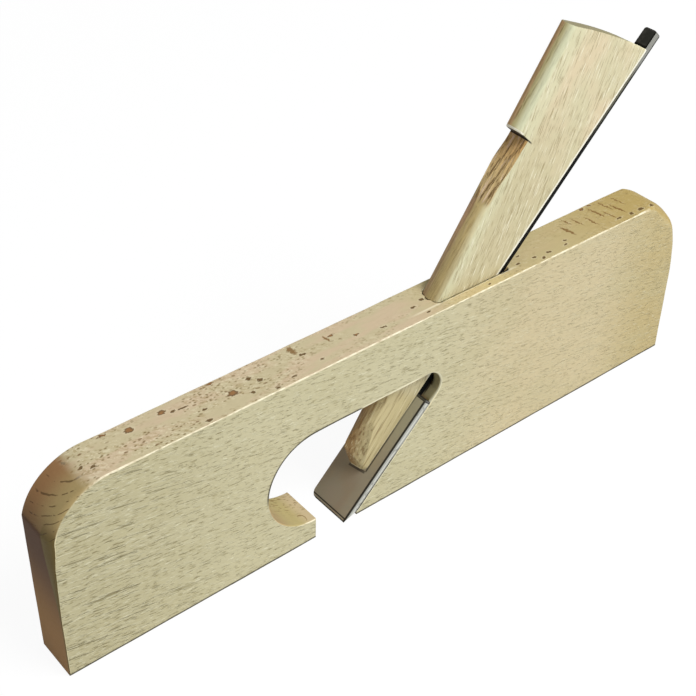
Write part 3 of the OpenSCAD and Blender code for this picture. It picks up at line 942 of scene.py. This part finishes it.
def beech_wedge_finish():
    """Planed beech, paler than the stock, whose dashes lean from the iron towards the front. The front is browner on
    its far half with painted shade, the notch is cut across the grain and darker, the corner under its wall is darkened
    with painted shade, and painted highlights run along the near arris at the iron and along the notch's lip."""
    f = Finish("planed_beech_wedge")
    nx, ny, nz = f.facing()
    s, y, h = f.axes(BED_ANGLE, BED_SHIFT)
    lean = BED_ANGLE + math.radians(22.0)
    fibre = f.noise(f.place((0.12, 0.8, 2.2), (0, lean, 0)), 4.0, 0.65)
    from_front = front_h(s) - h
    side, side_relief = wedge_side(f, s, from_front, lean)
    front, front_relief = wedge_front(f, s, y)

    near_side = f.smooth(ny, -0.6, -0.95) * f.smooth(s, 47.0, 53.0)
    far_side = f.smooth(ny, 0.6, 0.92)
    top_end = f.smooth(nz + nx, 0.75, 1.15) * f.smooth(s, 168.0, 172.0)
    # Masks for painted highlights along the near back arris and the notch's lip, and for painted shade in the corner
    # under the notch's wall
    near_arris_highlight = f.smooth(y, -WEDGE_TOP_W / 2 + 0.8, -WEDGE_TOP_W / 2 + 0.4) * f.smooth(s, 56.0, 60.0)
    under_lip = from_front + HEAD_LIFT - y * y * (0.5 / FRONT_R)
    raised = f.smooth(h, 25.0, 27.0)
    lip = f.band(s, NOTCH_AT - 0.3, NOTCH_AT + 0.6, 0.12) * f.smooth(under_lip, 1.1, 0.7) * raised
    corner = f.band(s, NOTCH_AT - 0.4, NOTCH_AT + 0.1, 0.12) * f.smooth(under_lip, 0.7, 1.1) * raised
    colour = f.layers(
        front,
        (f.most(near_side, far_side), side),
        (top_end, (0.34, 0.3, 0.16)),
        # Painted highlights along the near back arris of the head and down the tongue, and on the notch's lip
        (f.band(h, -1.0, 0.95, 0.15) * near_arris_highlight * 0.9, (1.0, 0.98, 0.84)),
        (f.smooth(h, 0.9, 0.4) * f.smooth(s, 56.0, 50.0) * 0.7, (0.8, 0.71, 0.44)),
        (lip * 0.85, (1.0, 0.97, 0.8)),
    )
    # Painted shade in the corner under the notch's wall
    colour = f.layers(f.fibred(colour, fibre), (corner * 0.95, (0.012, 0.009, 0.005)))
    height = fibre * 0.02 + side_relief * near_side + front_relief * (1 - near_side)
    return f.surface(colour, 0.6 - fibre * 0.1, height)


def steel_lines(f, s, y, h, blade):
    """Where thin dark lines run: the blade's near arris, its lower arris, its shoulders and its edge, and along the
    contact of the wedge's tongue and tip. The lines at the lower arris, the shoulders and the wedge's contact are
    painted shadow."""
    face_up = f.smooth(h, -0.5, -0.25)
    arris = f.smooth(y, -BLADE_NEAR + 0.55, -BLADE_NEAR + 0.8, 1.0, 0.0) * face_up
    # Painted shadow in the gap between the blade's back and the bed
    under = f.smooth(h, -IRON_T + 0.9, -IRON_T + 0.5) * f.smooth(s, 34.0, 26.0, 0.35, 1.0)
    # Painted shadow along the shoulders
    shoulder = f.smooth(s, BLADE_L - 1.0, BLADE_L - 0.7)
    edge = f.most(f.smooth(s, 0.55, 0.3), f.band(s, 0.95, 1.45, 0.12) * f.smooth(h, -0.6, -0.3))
    # Painted shadow along the wedge's tongue and its tip
    contact = f.band(y, -TONGUE_NEAR - 0.6, -TONGUE_NEAR, 0.12) * f.band(s, TONGUE_AT + 1.0, BLADE_L, 0.3)
    tip = f.band(s + y * TIP_SKEW, TONGUE_AT - 0.45, TONGUE_AT + 0.6, 0.15) * f.band(y, -4.2, 3.3, 0.3)
    drawn = f.most(contact * f.smooth(s, 44.0, 30.0, 0.35, 0.8), tip * 0.7) * f.smooth(h, -0.5, -0.2)
    return f.most(arris * blade, under * blade, edge, shoulder * blade, drawn)


def steel_finish():
    """Forged steel: a brown-grey face, black along its edges and its tang's sides, with painted shadow along the wedge,
    under the shoulders and where the wedge's top meets the tang, and ground bright along the sides of the blade and the
    top of the tang."""
    f = Finish("forged_steel")
    ny = f.facing()[1]
    s, y, h = f.axes(BED_ANGLE, BED_SHIFT)
    side_on = f.smooth(f.size(ny), 0.6, 0.9)
    tang = f.smooth(s, BLADE_L - 0.6, BLADE_L + 0.2)
    blade = 1 - tang
    cloud = f.noise(f.place((0.1, 0.1, 0.1)), 4.0, 0.6)
    tint = f.noise(f.place((0.06, 0.12, 0.06), (0, 0, 0), (3, 1, 7)), 2.0)
    scratch = f.noise(f.place((0.1, 3.0, 3.0), (0, BED_ANGLE, 0)), 3.0)
    blot = f.noise(f.place((0.35, 0.35, 0.35), (0, 0, 0), (8, 2, 4)), 3.0)
    face = f.layers(
        (0.34, 0.27, 0.178),
        (f.smooth(tint, 0.4, 0.62), (0.34, 0.29, 0.2)),
        (f.smooth(cloud, 0.42, 0.68) * 0.4, (0.36, 0.285, 0.21)),
        (f.smooth(s, 22.0, 44.0) * 0.7, (0.37, 0.36, 0.26)),
        (f.smooth(y, -3.0, -6.0) * 0.35, (0.38, 0.36, 0.26)),
    )
    tang_face = f.mix(f.smooth(cloud, 0.4, 0.62), (0.03, 0.03, 0.025), (0.085, 0.08, 0.07))
    ground = f.layers(
        (0.36, 0.37, 0.33),
        (scratch, (0.66, 0.66, 0.6)),
        (f.band(h, -2.1, -1.3, 0.25) * 0.6, (0.85, 0.85, 0.8)),
        (f.smooth(blot, 0.52, 0.66) * 0.6, (0.2, 0.2, 0.17)),
    )
    tang_side = f.layers(
        (0.008, 0.008, 0.007),
        (f.smooth(s, 150.0, 176.0) * f.band(h, -2.2, -1.2, 0.3), (0.17, 0.165, 0.12)),
        (f.smooth(s, 178.0, 188.0) * f.smooth(h, -2.75, -2.35), (0.3, 0.3, 0.27)),
    )
    # Painted shadow where the wedge's top end meets the tang, and a black line along the tang's near arris
    seat = f.smooth(s, WEDGE_TOP + 1.3, WEDGE_TOP + 0.7) * f.smooth(s, WEDGE_TOP - 1.0, WEDGE_TOP)
    shade = f.most(seat, f.smooth(y, -2.0, -2.25)) * tang * (1 - side_on)
    colour = f.layers(
        f.mix(tang, face, tang_face),
        (side_on, f.mix(tang, ground, tang_side)),
        (steel_lines(f, s, y, h, blade) * 0.9, (0.012, 0.011, 0.009)),
        (shade * 0.9, (0.004, 0.004, 0.003)),
        (f.smooth(s, IRON_L - 0.7, IRON_L - 0.2), (0.05, 0.046, 0.04)),
    )
    height = scratch * 0.01 + cloud * 0.03
    return f.surface(colour, 0.5 + cloud * 0.2, height, metallic=(side_on * 0.3 + 0.35) * blade, gloss=0.05)


# The pieces

stock = make_stock()
iron = make_iron()
wedge = make_wedge()
for made, body, finish in (
    (stock, "stock", beech_stock_finish),
    (iron, "iron", steel_finish),
    (wedge, "wedge", beech_wedge_finish),
):
    keep_facing(made)
    made.data.materials.clear()
    made.data.materials.append(finish())
    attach(made, body)
    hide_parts(body)


# The stage


def make_floor():
    """A flat floor under the sole, lit by the lamps and, for the camera and for gloss, close to white."""
    half, level = 6000.0, -0.3
    points = np.array([[-half, -half, level], [half, -half, level], [half, half, level], [-half, half, level]])
    floor = piece("floor", points, [[0, 1, 2, 3]])
    f = Finish("pale_floor")
    rays = f.add("LightPath", output="Is Camera Ray")
    gloss = f.add("LightPath", output="Is Glossy Ray")
    seen = f.math("MAXIMUM", rays, gloss)
    matt = f.add("BsdfDiffuse", {}, {"Color": (0.8, 0.8, 0.8)})
    white = f.add("Emission", {}, {"Color": (1.0, 1.0, 1.0), "Strength": 1.035})
    f.shown(f.add("MixShader", {}, {0: seen * 0.9, 1: matt, 2: white}))
    floor.data.materials.append(f.material)


def make_light():
    """Soft light from the near side and a little from the heel, and an even pale sky."""
    for name, place, size, power in (
        ("key", (0.5, -1.05, 1.65), 1.0, 34.0),
        ("fill", (-1.6, -0.9, 1.2), 1.6, 4.0),
    ):
        lamp = bpy.data.lights.new(name, "AREA")
        lamp.size = size
        lamp.energy = power
        made = bpy.data.objects.new(name, lamp)
        made.location = place
        made.rotation_euler = (-made.location).to_track_quat("-Z", "Y").to_euler()
        bpy.context.scene.collection.objects.link(made)
    world = bpy.data.worlds.new("pale_sky")
    world.use_nodes = True
    tree = world.node_tree
    tree.nodes.clear()
    out = tree.nodes.new("ShaderNodeOutputWorld")
    rays = tree.nodes.new("ShaderNodeLightPath")
    lit = tree.nodes.new("ShaderNodeBackground")
    lit.inputs["Color"].default_value = (0.96, 0.98, 1.0, 1.0)
    lit.inputs["Strength"].default_value = 0.3
    seen = tree.nodes.new("ShaderNodeBackground")
    seen.inputs["Color"].default_value = (1.0, 1.0, 1.0, 1.0)
    both = tree.nodes.new("ShaderNodeMixShader")
    tree.links.new(rays.outputs["Is Camera Ray"], both.inputs[0])
    tree.links.new(lit.outputs[0], both.inputs[1])
    tree.links.new(seen.outputs[0], both.inputs[2])
    tree.links.new(both.outputs[0], out.inputs[0])
    bpy.context.scene.world = world


def make_camera():
    """The photograph's view: from the toe's side, well above, and turned a little about its own axis."""
    lens = bpy.data.cameras.new("view")
    lens.lens = 71.43
    lens.sensor_width = 36.0
    lens.clip_start = 0.01
    lens.clip_end = 50.0
    made = bpy.data.objects.new("view", lens)
    # The place and the turn that lay the model's straight edges over the photograph's
    made.location = (-0.24625, -0.26809, 0.33944)
    made.rotation_euler = tuple(math.radians(a) for a in (52.1806, -1.1447, -39.2038))
    bpy.context.scene.collection.objects.link(made)
    bpy.context.scene.camera = made


make_floor()
make_light()
make_camera()
bpy.context.scene.view_settings.view_transform = "Standard"
